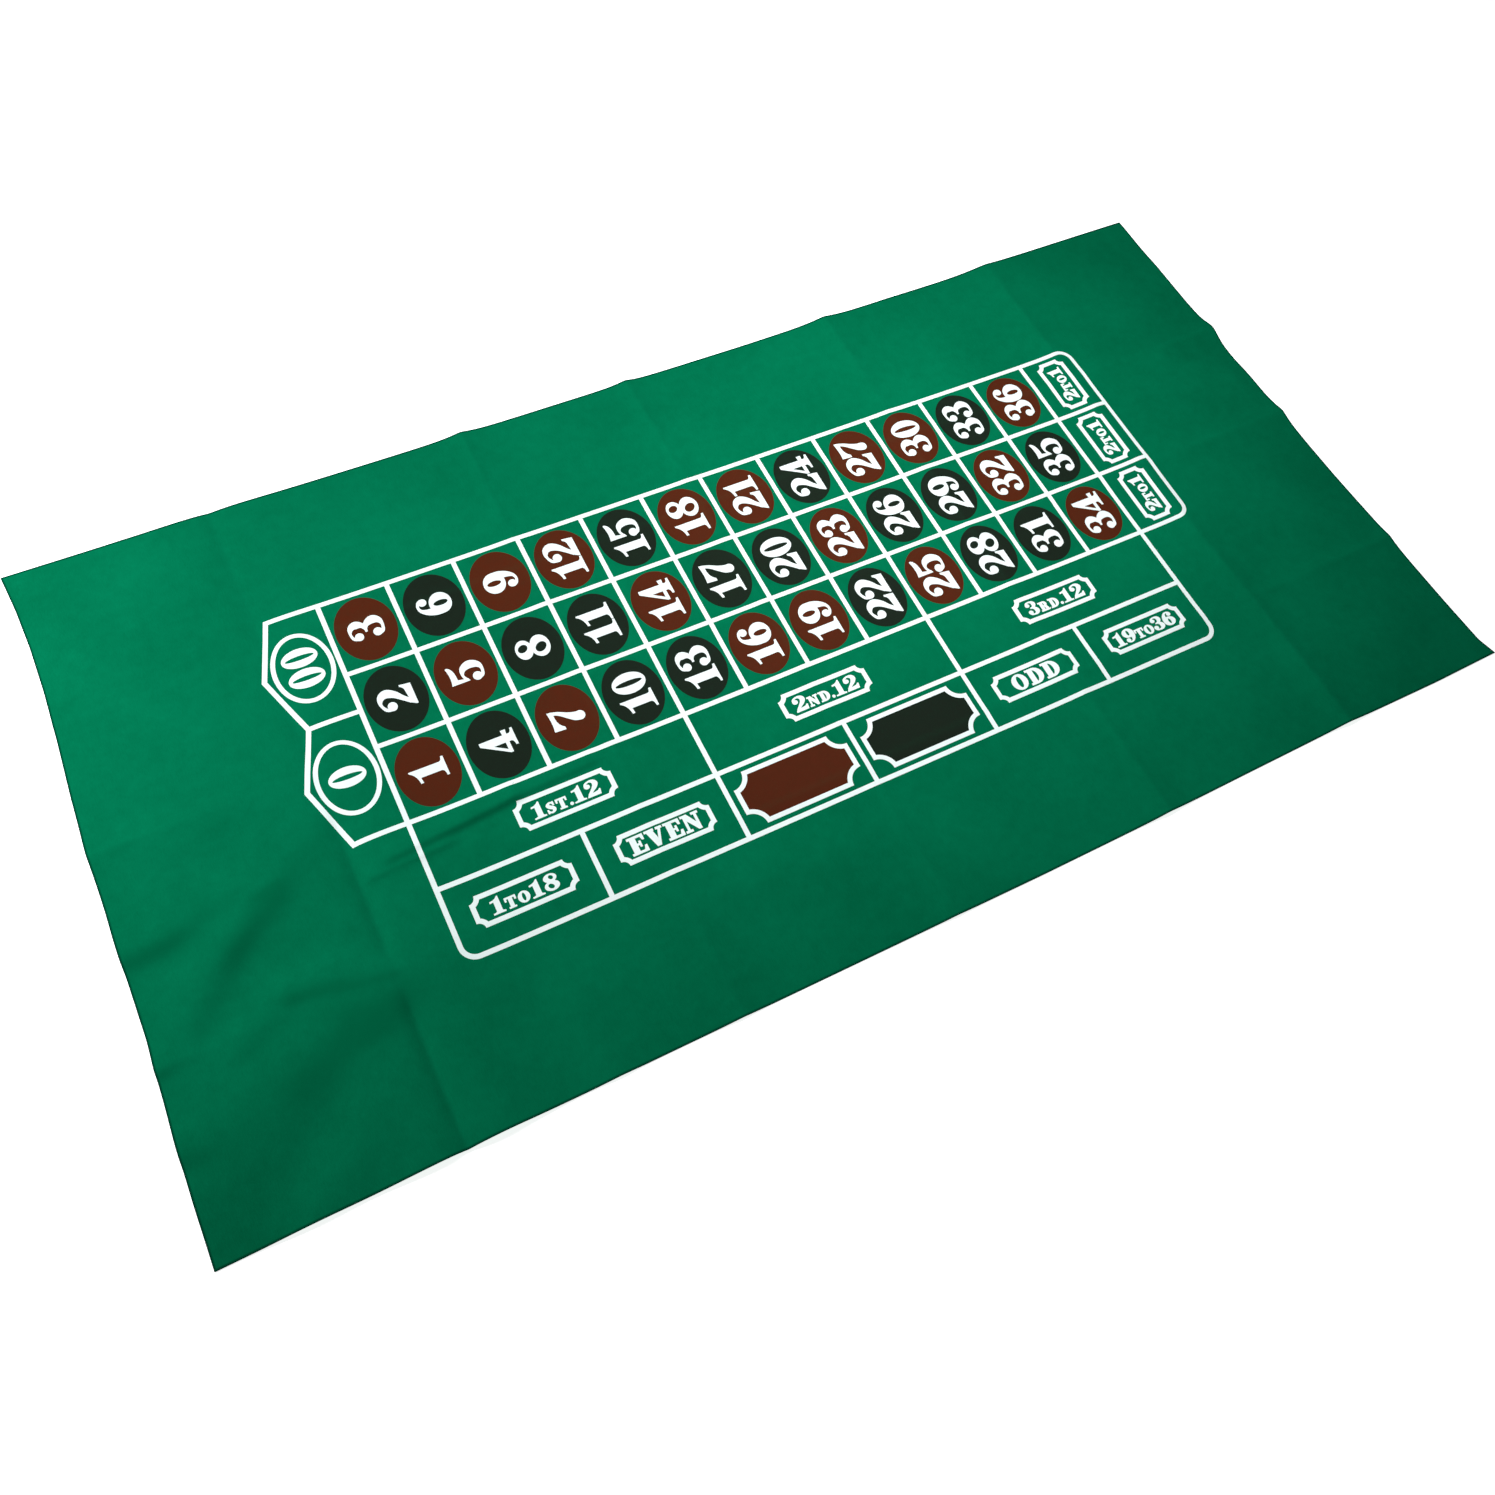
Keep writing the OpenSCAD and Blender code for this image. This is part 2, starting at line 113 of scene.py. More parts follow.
@dataclass(frozen=True)
class FoldLine:
    """One packing fold, set into the felt, standing as a low ridge or lying as a crease between two
    shoulders.

    Attributes:
        run: Which way it runs.
        start: Its place across the run at the near edge, or at the left end, in metres.
        end: Its place at the far edge, or at the right end.
        crest: (place along the run, height) pairs in rising order, in metres.
        reach: How far its flanks fall away to either side.
        sunk: Whether the fold is the bottom of a crease, with the height on its shoulders.
        softness: Radius of the crest.
        shoulder: How far a sunk fold's height is raised, so that its shoulders reach it.
        shoulder_reach: How many reaches away its shoulders die off.
    """

    run: Run
    start: float
    end: float
    crest: tuple[Point, ...]
    reach: float = 0.020
    sunk: bool = False
    softness: float = 0.003
    shoulder: float = 1.6
    shoulder_reach: float = 3.4

    def offset(self, at: Spots) -> np.ndarray:
        """Signed distance from the fold's line, in metres.

        Args:
            at: The places.

        Returns:
            The distances.
        """
        over, along, half = (at.x, at.y, at.half[1]) if self.run is Run.ACROSS else (at.y, at.x, at.half[0])
        share = (along + half) / (2 * half)
        return over - (self.start + (self.end - self.start) * share)

    def height(self, at: Spots) -> np.ndarray:
        """Height of the fold's ridge at each place.

        Args:
            at: The places.

        Returns:
            The height above the flat cloth, in metres.
        """
        crest = np.interp(at.y if self.run is Run.ACROSS else at.x, *zip(*self.crest))
        away = np.sqrt(self.offset(at) ** 2 + self.softness**2) - self.softness
        ridge = np.exp(-away / self.reach)
        if not self.sunk:
            return crest * ridge
        fall = np.exp(-((away / (self.shoulder_reach * self.reach)) ** 2))
        return crest * self.shoulder * (1 - ridge) * fall


@dataclass(frozen=True)
class Swell:
    """A soft long wave in the cloth, highest along the line from start to end.

    Attributes:
        start: One end of its crest.
        end: The other end.
        height: Its height, in metres.
        width: How wide its near flank is.
        lean: How many times wider its far flank is.
        flank_shade: How dark its near flank is painted, as painted shade, from 0 to 1.
        end_fade: How many widths beyond its ends it dies away.
        shade_middle: Where the band of painted shade lies below the crest, in widths.
        shade_width: Half the width of that band of painted shade, in widths.
    """

    start: Point
    end: Point
    height: float
    width: float
    lean: float = 1.0
    flank_shade: float = 0.0
    end_fade: float = 1.6
    shade_middle: float = 0.75
    shade_width: float = 0.7

    def measure(self, at: Spots) -> tuple[np.ndarray, np.ndarray]:
        """Where each place is, seen from the crest.

        Args:
            at: The places.

        Returns:
            The signed distance to the side of the crest, and the distance beyond its ends.
        """
        run = np.array(self.end) - np.array(self.start)
        length = float(np.hypot(*run))
        ux, uy = run / length
        dx, dy = at.x - self.start[0], at.y - self.start[1]
        along = dx * ux + dy * uy
        return dy * ux - dx * uy, np.maximum(np.maximum(-along, along - length), 0.0)

    def rise(self, at: Spots) -> np.ndarray:
        """Height of the wave at each place.

        Args:
            at: The places.

        Returns:
            The height above the flat cloth, in metres.
        """
        side, beyond = self.measure(at)
        flank = np.where(side > 0, self.width * self.lean, self.width)
        return self.height * np.exp(-((side / flank) ** 2) - (beyond / (self.end_fade * self.width)) ** 2)

    def flank_shading(self, at: Spots) -> np.ndarray:
        """How much painted shade lies at each place, in a band on the near flank.

        Args:
            at: The places.

        Returns:
            From 0 where no shade is painted to 1 where it is painted darkest.
        """
        side, beyond = self.measure(at)
        band = (side + self.shade_middle * self.width) / (self.shade_width * self.width)
        return self.flank_shade * np.exp(-(band**2) - (beyond / self.width) ** 2)


class Side(Enum):
    """The four edges of the cloth."""

    LEFT = (0, -1)
    RIGHT = (0, 1)
    NEAR = (1, -1)
    FAR = (1, 1)


@dataclass(frozen=True)
class EdgePull:
    """How far one edge has been pulled out of straight as the cloth was spread by hand.

    Attributes:
        side: Which edge.
        pull: (place along the edge, move outwards) pairs in rising order, in metres.
        fade: How far in from the edge the move dies away.
        ease: How much faster than evenly it dies away.
    """

    side: Side
    pull: tuple[Point, ...]
    fade: float
    ease: float = 1.6

    def move(self, at: Spots) -> tuple[np.ndarray, np.ndarray]:
        """The move of each place in the plane.

        Args:
            at: The places.

        Returns:
            The moves along and across, in metres.
        """
        axis, sign = self.side.value
        over, along = (at.x, at.y) if axis == 0 else (at.y, at.x)
        share = np.clip(1 - (at.half[axis] - sign * over) / self.fade, 0, 1)
        out = sign * share**self.ease * np.interp(along, *zip(*self.pull))
        still = np.zeros_like(out)
        return (out, still) if axis == 0 else (still, out)


@dataclass
class ClothLie:
    """The whole surface of the laid cloth, as heights on the sheet's own grid.

    Attributes:
        length: The cloth's length, left to right, in metres.
        depth: The cloth's depth, near to far.
        cell: Size of the sheet's plain grid cells.
        crumple_cell: Size of its cells in the crumpled panel at the near left.
        fine_cell: Size of its cells near a fold or a wrinkle.
        least_cell: The narrowest cell that may be left over.
        fold_strip: How far to either side of a fold the fine cells go.
        rim: Width of the raw cut rim.
        most: The greatest height that the cloth may stand up to.
        waviness: Half the height of the slight waves all over the cloth.
        waves: Their two directions, each as radians to the metre along and across, and a start.
        fold_mark: How far to either side of a fold it is marked: a painted highlight on the felt, rubbed ink
            on the prints.
        folds: The folds that it was packed in.
        swells: The soft waves and wrinkles between them.
        wrinkle_strip: The rows that need fine cells for the sharp wrinkle.
        crumpled: The right and far ends of the crumpled panel.
        pulls: How its edges were pulled out of straight.
        columns: The grid's places along the length.
        rows: The grid's places along the depth.
        lift: The cloth's height at each crossing of the grid.
    """

    length: float
    depth: float
    cell: float = 0.0096
    crumple_cell: float = 0.0056
    fine_cell: float = 0.003
    least_cell: float = 0.0012
    fold_strip: float = 0.013
    rim: float = 0.0030
    most: float = 0.0095
    waviness: float = 0.00045
    waves: tuple[Place, Place] = ((11.0, 4.0, 0.0), (-3.0, 9.0, 0.7))
    fold_mark: float = 0.0045
    folds: tuple[FoldLine, ...] = (
        FoldLine(
            Run.ACROSS, -0.640, -0.648,
            ((-0.457, 0.0084), (-0.30, 0.0078), (-0.10, 0.0064), (0.05, 0.0032), (0.30, 0.0016),
             (0.457, 0.0018)),
            reach=0.022, sunk=True,
        ),
        FoldLine(
            Run.ACROSS, -0.304, -0.293,
            ((-0.457, 0.0034), (-0.27, 0.0014), (0.26, 0.0012), (0.457, 0.0066)), reach=0.018,
        ),
        FoldLine(
            Run.ACROSS, -0.008, -0.037,
            ((-0.457, 0.0028), (-0.27, 0.0010), (0.26, 0.0012), (0.457, 0.0060)), reach=0.014,
        ),
        FoldLine(
            Run.ACROSS, 0.320, 0.302,
            ((-0.457, 0.0062), (-0.27, 0.0026), (0.26, 0.0020), (0.457, 0.0088)), reach=0.022,
        ),
        FoldLine(
            Run.ACROSS, 0.636, 0.606,
            ((-0.457, 0.0068), (-0.10, 0.0042), (0.26, 0.0042), (0.457, 0.0070)), reach=0.022,
        ),
        FoldLine(
            Run.ALONG, 0.034, 0.024,
            ((-0.914, 0.0044), (-0.68, 0.0026), (-0.57, 0.0008), (0.60, 0.0010), (0.9, 0.0070)), reach=0.018,
        ),
        FoldLine(
            Run.ALONG, 0.220, 0.208,
            ((-0.914, 0.0010), (-0.60, 0.0005), (0.60, 0.0008), (0.78, 0.0026), (0.9, 0.0150)), reach=0.015,
        ),
        FoldLine(
            Run.ALONG, -0.240, -0.235,
            ((-0.914, 0.0020), (-0.60, 0.0007), (0.60, 0.0012), (0.9, 0.0034)), reach=0.016,
        ),
    )
    swells: tuple[Swell, ...] = (
        # the sixth number of a swell is how dark its near flank is painted, as painted shade
        # the crumpled panel at the near left
        Swell((-0.935, -0.099), (-0.855, -0.094), 0.0072, 0.019, 2.4, 0.75),
        Swell((-0.855, -0.092), (-0.790, -0.074), 0.0036, 0.016, 2.0, 0.30),
        Swell((-0.862, -0.196), (-0.806, -0.138), 0.0050, 0.021, 2.0, 0.28),
        Swell((-0.806, -0.134), (-0.742, -0.090), 0.0080, 0.020, 1.8, 0.75),
        Swell((-0.742, -0.088), (-0.655, -0.016), 0.0050, 0.030, 1.6, 0.25),
        Swell((-0.756, -0.090), (-0.732, -0.084), 0.0030, 0.009, 1.0, 0.70),
        Swell((-0.755, -0.218), (-0.705, -0.224), 0.0078, 0.013, 1.8, 1.0),
        Swell((-0.700, -0.232), (-0.648, -0.241), 0.0050, 0.010, 2.0, 0.8),
        Swell((-0.820, -0.250), (-0.765, -0.228), 0.0036, 0.018, 1.5, 0.25),
        Swell((-0.775, -0.294), (-0.700, -0.268), 0.0080, 0.034, 1.4, 0.75),
        Swell((-0.700, -0.266), (-0.655, -0.258), 0.0080, 0.030, 1.2, 0.95),
        Swell((-0.940, -0.237), (-0.908, -0.239), 0.0030, 0.010, 2.0, 0.45),
        Swell((-0.940, -0.330), (-0.900, -0.335), 0.0048, 0.015, 1.8, 0.65),
        Swell((-0.870, -0.330), (-0.790, -0.312), 0.0030, 0.028, 1.6, 0.25),
        # soft waves along the left end and the near edge
        Swell((-0.88, -0.375), (-0.80, -0.345), 0.0034, 0.030),
        Swell((-0.70, -0.345), (-0.66, -0.44), 0.0040, 0.026),
        Swell((-0.78, 0.02), (-0.66, 0.045), 0.0030, 0.030),
        Swell((-0.455, -0.47), (-0.475, -0.37), 0.0030, 0.020),
        Swell((-0.82, -0.47), (-0.74, -0.40), 0.0052, 0.030),
        Swell((-0.595, -0.47), (-0.600, -0.36), 0.0044, 0.020),
        Swell((-0.30, -0.315), (-0.08, -0.335), 0.0030, 0.035),
        # the sharp wrinkle below the first numbers
        Swell((-0.600, -0.112), (-0.440, -0.097), 0.0052, 0.0056, 3.4, 1.0),
        Swell((-0.440, -0.097), (-0.330, -0.091), 0.0028, 0.0056, 3.0, 0.6),
        Swell((-0.630, -0.127), (-0.530, -0.121), 0.0024, 0.0046, 3.0, 0.5),
        # soft waves at the right end
        Swell((0.80, 0.19), (0.88, 0.12), 0.0040, 0.030),
        Swell((0.66, 0.45), (0.93, 0.47), 0.0060, 0.055),
    )
    wrinkle_strip: Point = (-0.134, -0.084)
    crumpled: Point = (-0.61, -0.06)
    pulls: tuple[EdgePull, ...] = (
        EdgePull(
            Side.RIGHT,
            ((-0.457, 0.0), (-0.43, -0.0078), (-0.36, -0.0110), (-0.28, -0.0132), (-0.19, -0.0155),
             (-0.11, -0.0192), (0.02, -0.0220), (0.14, -0.0258), (0.26, -0.0262), (0.36, -0.0270),
             (0.41, -0.0310), (0.457, -0.0345)),
            fade=0.30,
        ),
        EdgePull(
            Side.LEFT,
            ((-0.40, 0.0), (-0.30, -0.0008), (-0.20, -0.0034), (-0.14, -0.0026), (-0.04, -0.0018),
             (0.05, -0.0006), (0.12, -0.0028), (0.20, -0.0068), (0.27, -0.0088), (0.34, -0.0085),
             (0.40, -0.0056), (0.44, -0.0019), (0.457, -0.0002)),
            fade=0.24,
        ),
        EdgePull(
            Side.NEAR,
            ((-0.914, 0.0062), (-0.40, 0.0061), (0.12, 0.0084), (0.30, 0.0074), (0.46, 0.0050),
             (0.62, 0.0030), (0.80, 0.0046), (0.914, 0.0030)),
            fade=0.17,
        ),
        EdgePull(
            Side.FAR,
            ((-0.914, -0.0013), (-0.76, -0.0010), (-0.64, -0.0018), (-0.42, -0.0012), (-0.10, 0.0),
             (0.16, 0.0010), (0.30, 0.0028), (0.42, 0.0058), (0.60, 0.0064), (0.90, 0.0090)),
            fade=0.19,
        ),
    )
    columns: np.ndarray = field(init=False)
    rows: np.ndarray = field(init=False)
    lift: np.ndarray = field(init=False)

    def __post_init__(self) -> None:
        """Lays out the grid and samples the surface on it."""
        across = [f for f in self.folds if f.run is Run.ACROSS]
        along = [f for f in self.folds if f.run is Run.ALONG]
        right, far = self.crumpled
        self.columns = self.stations(self.length / 2, [self.strip(f) for f in across], right)
        self.rows = self.stations(self.depth / 2, [self.strip(f) for f in along] + [self.wrinkle_strip], far)
        self.lift = self.surface(self.spots(*np.meshgrid(self.columns, self.rows, indexing="ij")))

    def spots(self, x: np.ndarray, y: np.ndarray) -> Spots:
        """Those places along and across this cloth."""
        return Spots(x, y, (self.length / 2, self.depth / 2))

    def strip(self, fold: FoldLine) -> Point:
        """Where the fine cells that a fold needs start and end, across its run."""
        return min(fold.start, fold.end) - self.fold_strip, max(fold.start, fold.end) + self.fold_strip

    def stations(self, half: float, strips: Sequence[Point], crumpled: float) -> np.ndarray:
        """Places of the grid's lines on one axis, close together in the strips and at the rim.

        Args:
            half: Half the cloth's size on that axis.
            strips: Where fine cells start and end.
            crumpled: Where the crumpled panel ends.

        Returns:
            The places, in rising order.
        """
        inner = half - self.rim
        marks = [-inner]
        while marks[-1] < inner:
            fine = any(low <= marks[-1] <= high for low, high in strips)
            plain = self.crumple_cell if marks[-1] < crumpled else self.cell
            marks.append(marks[-1] + (self.fine_cell if fine else plain))
        marks[-1] = inner
        if marks[-1] - marks[-2] < self.least_cell:
            del marks[-2]
        return np.array([-half, *marks, half])

    def surface(self, at: Spots) -> np.ndarray:
        """The exact height of the cloth at each place.

        Args:
            at: The places.

        Returns:
            Heights above the flat cloth, from 0 to the greatest height allowed.
        """
        rise = sum(fold.height(at) for fold in self.folds)
        rise = rise + sum(swell.rise(at) for swell in self.swells)
        first, second = (along * at.x + across * at.y + start for along, across, start in self.waves)
        rise = rise + self.waviness * (1 + np.sin(first) * np.cos(second))
        return self.most * np.tanh(rise / self.most)

    def fold_closeness(self, at: Spots) -> np.ndarray:
        """How near each place is to a fold.

        Args:
            at: The places.

        Returns:
            1 on a fold, falling to 0 about a centimetre away.
        """
        near = np.zeros_like(at.x)
        for fold in self.folds:
            near = np.maximum(near, np.exp(-((fold.offset(at) / self.fold_mark) ** 2)))
        return near

    def height_at(self, x: np.ndarray, y: np.ndarray) -> np.ndarray:
        """Height read from the sheet's grid, so that a print lies flush on the sheet's own faces.

        Args:
            x: Places along the cloth.
            y: Places across the cloth.

        Returns:
            Heights above the flat cloth, in metres.
        """
        i = np.clip(np.searchsorted(self.columns, x, side="right") - 1, 0, len(self.columns) - 2)
        j = np.clip(np.searchsorted(self.rows, y, side="right") - 1, 0, len(self.rows) - 2)
        a = (x - self.columns[i]) / (self.columns[i + 1] - self.columns[i])
        b = (y - self.rows[j]) / (self.rows[j + 1] - self.rows[j])
        z = self.lift
        low = z[i, j] * (1 - a) + z[i + 1, j] * a
        high = z[i, j + 1] * (1 - a) + z[i + 1, j + 1] * a
        return low * (1 - b) + high * b

    def drift(self, at: Spots) -> tuple[np.ndarray, np.ndarray]:
        """How far each place lies from where a straight sheet would have it, along and across."""
        moves = [pull.move(at) for pull in self.pulls]
        return sum(move[0] for move in moves), sum(move[1] for move in moves)

    def rim_closeness(self, at: Spots) -> np.ndarray:
        """How near each place is to the cut edge: 1 on it, falling to 0 over the rim's width."""
        inset = np.minimum(self.length / 2 - np.abs(at.x), self.depth / 2 - np.abs(at.y))
        return np.clip(1 - inset / self.rim, 0, 1)

    def normals_at(self, x: np.ndarray, y: np.ndarray) -> np.ndarray:
        """The surface's upward normals.

        Args:
            x: Places along the cloth.
            y: Places across the cloth.

        Returns:
            One unit normal for each place.
        """
        step = 0.5 * self.fine_cell
        slope_x = (self.height_at(x + step, y) - self.height_at(x - step, y)) / (2 * step)
        slope_y = (self.height_at(x, y + step) - self.height_at(x, y - step)) / (2 * step)
        normals = np.stack([-slope_x, -slope_y, np.ones_like(x)], axis=1)
        return normals / np.linalg.norm(normals, axis=1, keepdims=True)

    def settle(self, mesh: Mesh) -> np.ndarray:
        """Moves a flat mesh onto the laid cloth and marks where the folds and the rim are and where painted
        shade lies on the swells' flanks.

        Args:
            mesh: A mesh in the frame's flat coordinates.

        Returns:
            The cloth's normal under each vertex.
        """
        co = np.empty(len(mesh.vertices) * 3)
        mesh.vertices.foreach_get("co", co)
        co = co.reshape(-1, 3)
        at = self.spots(co[:, 0].copy(), co[:, 1].copy())
        co += np.stack([*self.drift(at), self.height_at(at.x, at.y)], axis=1)
        mesh.vertices.foreach_set("co", co.ravel())
        marks = {
            FOLD_ATTRIBUTE: self.fold_closeness(at),
            RIM_ATTRIBUTE: self.rim_closeness(at),
            # painted shade on the swells' near flanks
            FLANK_SHADE_ATTRIBUTE: np.clip(sum(swell.flank_shading(at) for swell in self.swells), 0.0, 1.0),
        }
        for name, values in marks.items():
            mesh.attributes.new(name, "FLOAT", "POINT").data.foreach_set("value", values)
        mesh.update()
        return self.normals_at(at.x, at.y)


# ---- Finishes ----


@dataclass(frozen=True)
class Grain:
    """A noise pattern.

    Attributes:
        scale: Cells to the metre.
        detail: Octaves.
        rough: How strong the fine octaves are.
    """

    scale: float
    detail: float
    rough: float = 0.5


class NodeBoard:
    """A small hand for laying nodes in a tree and wiring them."""

    def __init__(self, tree: NodeTree) -> None:
        """Keeps the tree that the nodes go in."""
        self.tree = tree
        self.count = 0

    def add(self, kind: str, **settings: object) -> Node:
        """Lays a node.

        Args:
            kind: The node's type name.
            **settings: Properties of the node, set by name.

        Returns:
            The new node.
        """
        node = self.tree.nodes.new(kind)
        row, place = divmod(self.count, NODES_IN_ROW)
        node.location = (place * NODE_STEP[0], -row * NODE_STEP[1])
        self.count += 1
        for name, value in settings.items():
            setattr(node, name, value)
        return node

    def plug(self, socket: NodeSocket, value: Feed) -> None:
        """Sets or wires one input.

        Args:
            socket: The input.
            value: A socket to wire from, or a plain value; a colour goes without its alpha.
        """
        if isinstance(value, NodeSocket):
            self.tree.links.new(value, socket)
        else:
            socket.default_value = (*value, 1.0) if socket.type == "RGBA" else value

    def feed(self, node: Node, **inputs: Feed) -> Node:
        """Sets or wires a node's inputs by name, with _ for a space.

        Args:
            node: The node.
            **inputs: A socket to wire from, or a plain value to set.

        Returns:
            The same node.
        """
        for name, value in inputs.items():
            self.plug(node.inputs[name.replace("_", " ")], value)
        return node

    def maths(self, operation: str, a: Feed, b: Feed, clamp: bool = False) -> NodeSocket:
        """A Math node.

        Args:
            operation: The operation's name.
            a: First value or socket.
            b: Second value or socket.
            clamp: Whether the result is held from 0 to 1.

        Returns:
            The result's socket.
        """
        node = self.add("ShaderNodeMath", operation=operation, use_clamp=clamp)
        for socket, value in zip(node.inputs, (a, b)):
            self.plug(socket, value)
        return node.outputs[0]

    def weigh(self, a: NodeSocket, b: NodeSocket, share: float) -> NodeSocket:
        """A weighted mean of two values, held from 0 to 1: a has the share and b the rest."""
        parts = self.maths("MULTIPLY", a, share), self.maths("MULTIPLY", b, 1 - share)
        return self.maths("ADD", *parts, clamp=True)

    def noise(self, vector: NodeSocket, grain: Grain, density: NodeSocket | None = None) -> NodeSocket:
        """A Noise Texture's value.

        Args:
            vector: Where the pattern is read.
            grain: The pattern.
            density: How many times closer its cells lie, or None where they lie as they are.

        Returns:
            The value's socket.
        """
        scale = grain.scale if density is None else self.maths("MULTIPLY", density, grain.scale)
        node = self.add("ShaderNodeTexNoise")
        self.feed(node, Vector=vector, Scale=scale, Detail=grain.detail, Roughness=grain.rough)
        return node.outputs[0]

    def stretched(self, vector: NodeSocket, turn: float, stretch: float) -> NodeSocket:
        """Coordinates turned by that many radians and stretched for long fibres."""
        node = self.add("ShaderNodeMapping")
        return self.feed(node, Vector=vector, Rotation=(0, 0, turn), Scale=(1.0, stretch, 1.0)).outputs[0]

    def blend(self, factor: Feed, a: Feed, b: Feed) -> NodeSocket:
        """A colour mix.

        Args:
            factor: Share of b, as a value or socket.
            a: First colour or socket.
            b: Second colour or socket.

        Returns:
            The mixed colour's socket.
        """
        node = self.add("ShaderNodeMix", data_type="RGBA")
        # the factor's input and the two colours', among those of the other data types
        for place, value in ((0, factor), (6, a), (7, b)):
            self.plug(node.inputs[place], value)
        return node.outputs[2]

    def spread(self, value: NodeSocket, taken: Point, given: Point = (0.0, 1.0)) -> NodeSocket:
        """A Map Range of one value.

        Args:
            value: The value's socket.
            taken: The range of values that is read.
            given: The range that it is spread over.

        Returns:
            The result's socket.
        """
        node = self.add("ShaderNodeMapRange")
        for socket, item in zip(node.inputs, (value, *taken, *given)):
            self.plug(socket, item)
        return node.outputs[0]

    def place(self) -> NodeSocket:
        """Where a point lies on the object, in metres."""
        return self.add("ShaderNodeTexCoord").outputs["Object"]

    def mark(self, attribute: str) -> NodeSocket:
        """A value marked on the mesh under that name."""
        return self.add("ShaderNodeAttribute", attribute_name=attribute).outputs["Fac"]

    def relief(self, height: NodeSocket, depth: float, strength: float) -> NodeSocket:
        """The normal of a fine relief, from its height of 0 to 1, its depth in metres and its strength."""
        bump = self.feed(self.add("ShaderNodeBump"), Strength=strength, Distance=depth, Height=height)
        return bump.outputs[0]


def open_material(name: str) -> tuple[Material, NodeBoard, Node]:
    """Starts a material.

    Args:
        name: The material's name.

    Returns:
        The material, a board on its tree, and its shader.
    """
    material = bpy.data.materials.new(name)
    material.use_nodes = True
    tree = material.node_tree
    return material, NodeBoard(tree), tree.nodes["Principled BSDF"]


def open_group(
    name: str, inputs: dict[str, float | None], outputs: Sequence[str]
) -> tuple[NodeTree, NodeBoard, Node, Node]:
    """Starts a shader node group.

    Args:
        name: The group's name.
        inputs: Input names with their defaults; None stands for a vector.
        outputs: Names of the values that it gives.

    Returns:
        The group, a board on it, and its input and output nodes.
    """
    group = bpy.data.node_groups.new(name, "ShaderNodeTree")
    for label, default in inputs.items():
        kind = "NodeSocketVector" if default is None else "NodeSocketFloat"
        socket = group.interface.new_socket(label, in_out="INPUT", socket_type=kind)
        if default is not None:
            socket.default_value = default
    for label in outputs:
        group.interface.new_socket(label, in_out="OUTPUT", socket_type="NodeSocketFloat")
    board = NodeBoard(group)
    return group, board, board.add("NodeGroupInput"), board.add("NodeGroupOutput")


@dataclass(frozen=True)
class FibreGroup:
    """The felt's matted fibres: long hairs in three directions, fine fuzz, and broad nap clouds.

    Attributes:
        lays: (turn in radians, stretch) of each direction that the hairs lie in.
        hairs: The pattern of the hairs.
        fuzz: The pattern of the fuzz.
        clouds: The broad clouds of the nap.
        patches: Its small patches.
        hair_part: What the hairs give to the height.
        fuzz_part: What the fuzz gives to it.
        cloud_share: Share of the clouds in the nap.
        height_seen: The heights that Fibres spreads from 0 to 1.
        nap_seen: The values that Nap spreads from 0 to 1.
    """

    lays: tuple[Point, ...] = ((0.35, 0.13), (1.45, 0.16), (2.50, 0.11))
    hairs: Grain = Grain(1150.0, 2.0, 0.6)
    fuzz: Grain = Grain(2800.0, 2.0, 0.65)
    clouds: Grain = Grain(5.5, 3.0, 0.55)
    patches: Grain = Grain(60.0, 3.0, 0.6)
    hair_part: float = 0.75
    fuzz_part: float = 0.45
    cloud_share: float = 0.65
    height_seen: Point = (0.45, 0.95)
    nap_seen: Point = (0.36, 0.64)

    def build(self) -> NodeTree:
        """Builds the group.

        Returns:
            The node group, with Fibres, Nap and Height outputs.
        """
        outputs = ("Fibres", "Nap", "Height")
        group, board, source, sink = open_group("felt_fibres", {"Vector": None, "Density": 1.0}, outputs)
        place, density = source.outputs["Vector"], source.outputs["Density"]
        top = None
        for turn, stretch in self.lays:
            strand = board.noise(board.stretched(place, turn, stretch), self.hairs, density)
            top = strand if top is None else board.maths("MAXIMUM", top, strand)
        fuzz = board.maths("MULTIPLY", board.noise(place, self.fuzz, density), self.fuzz_part)
        height = board.maths("ADD", fuzz, board.maths("MULTIPLY", top, self.hair_part))
        clouds, patches = board.noise(place, self.clouds), board.noise(place, self.patches)
        nap = board.weigh(clouds, patches, self.cloud_share)
        fibres = board.spread(height, self.height_seen)
        board.feed(sink, Fibres=fibres, Nap=board.spread(nap, self.nap_seen), Height=height)
        return group


@dataclass(frozen=True)
class CoverageGroup:
    """How evenly the ink took: broad mottle from the squeegee and pinholes where fibres stand through.

    Attributes:
        mottle: The pattern of the mottle.
        mottle_seen: The values that Mottle spreads from 0 to 1.
        pinholes: The pattern that the pinholes open in.
        pinhole_edge: The values over which one opens.
    """

    mottle: Grain = Grain(95.0, 4.0, 0.6)
    mottle_seen: Point = (0.33, 0.67)
    pinholes: Grain = Grain(1350.0, 1.0)
    pinhole_edge: Point = (0.66, 0.74)

    def build(self) -> NodeTree:
        """Builds the group.

        Returns:
            The node group, with Mottle and Pinholes outputs.
        """
        inputs = {"Vector": None, "Gaps": 0.5}
        group, board, source, sink = open_group("ink_coverage", inputs, ("Mottle", "Pinholes"))
        place, gaps = source.outputs["Vector"], source.outputs["Gaps"]
        mottle = board.spread(board.noise(place, self.mottle), self.mottle_seen)
        holes = board.spread(board.noise(place, self.pinholes), self.pinhole_edge)
        board.feed(sink, Mottle=mottle, Pinholes=board.maths("MULTIPLY", holes, gaps, clamp=True))
        return group


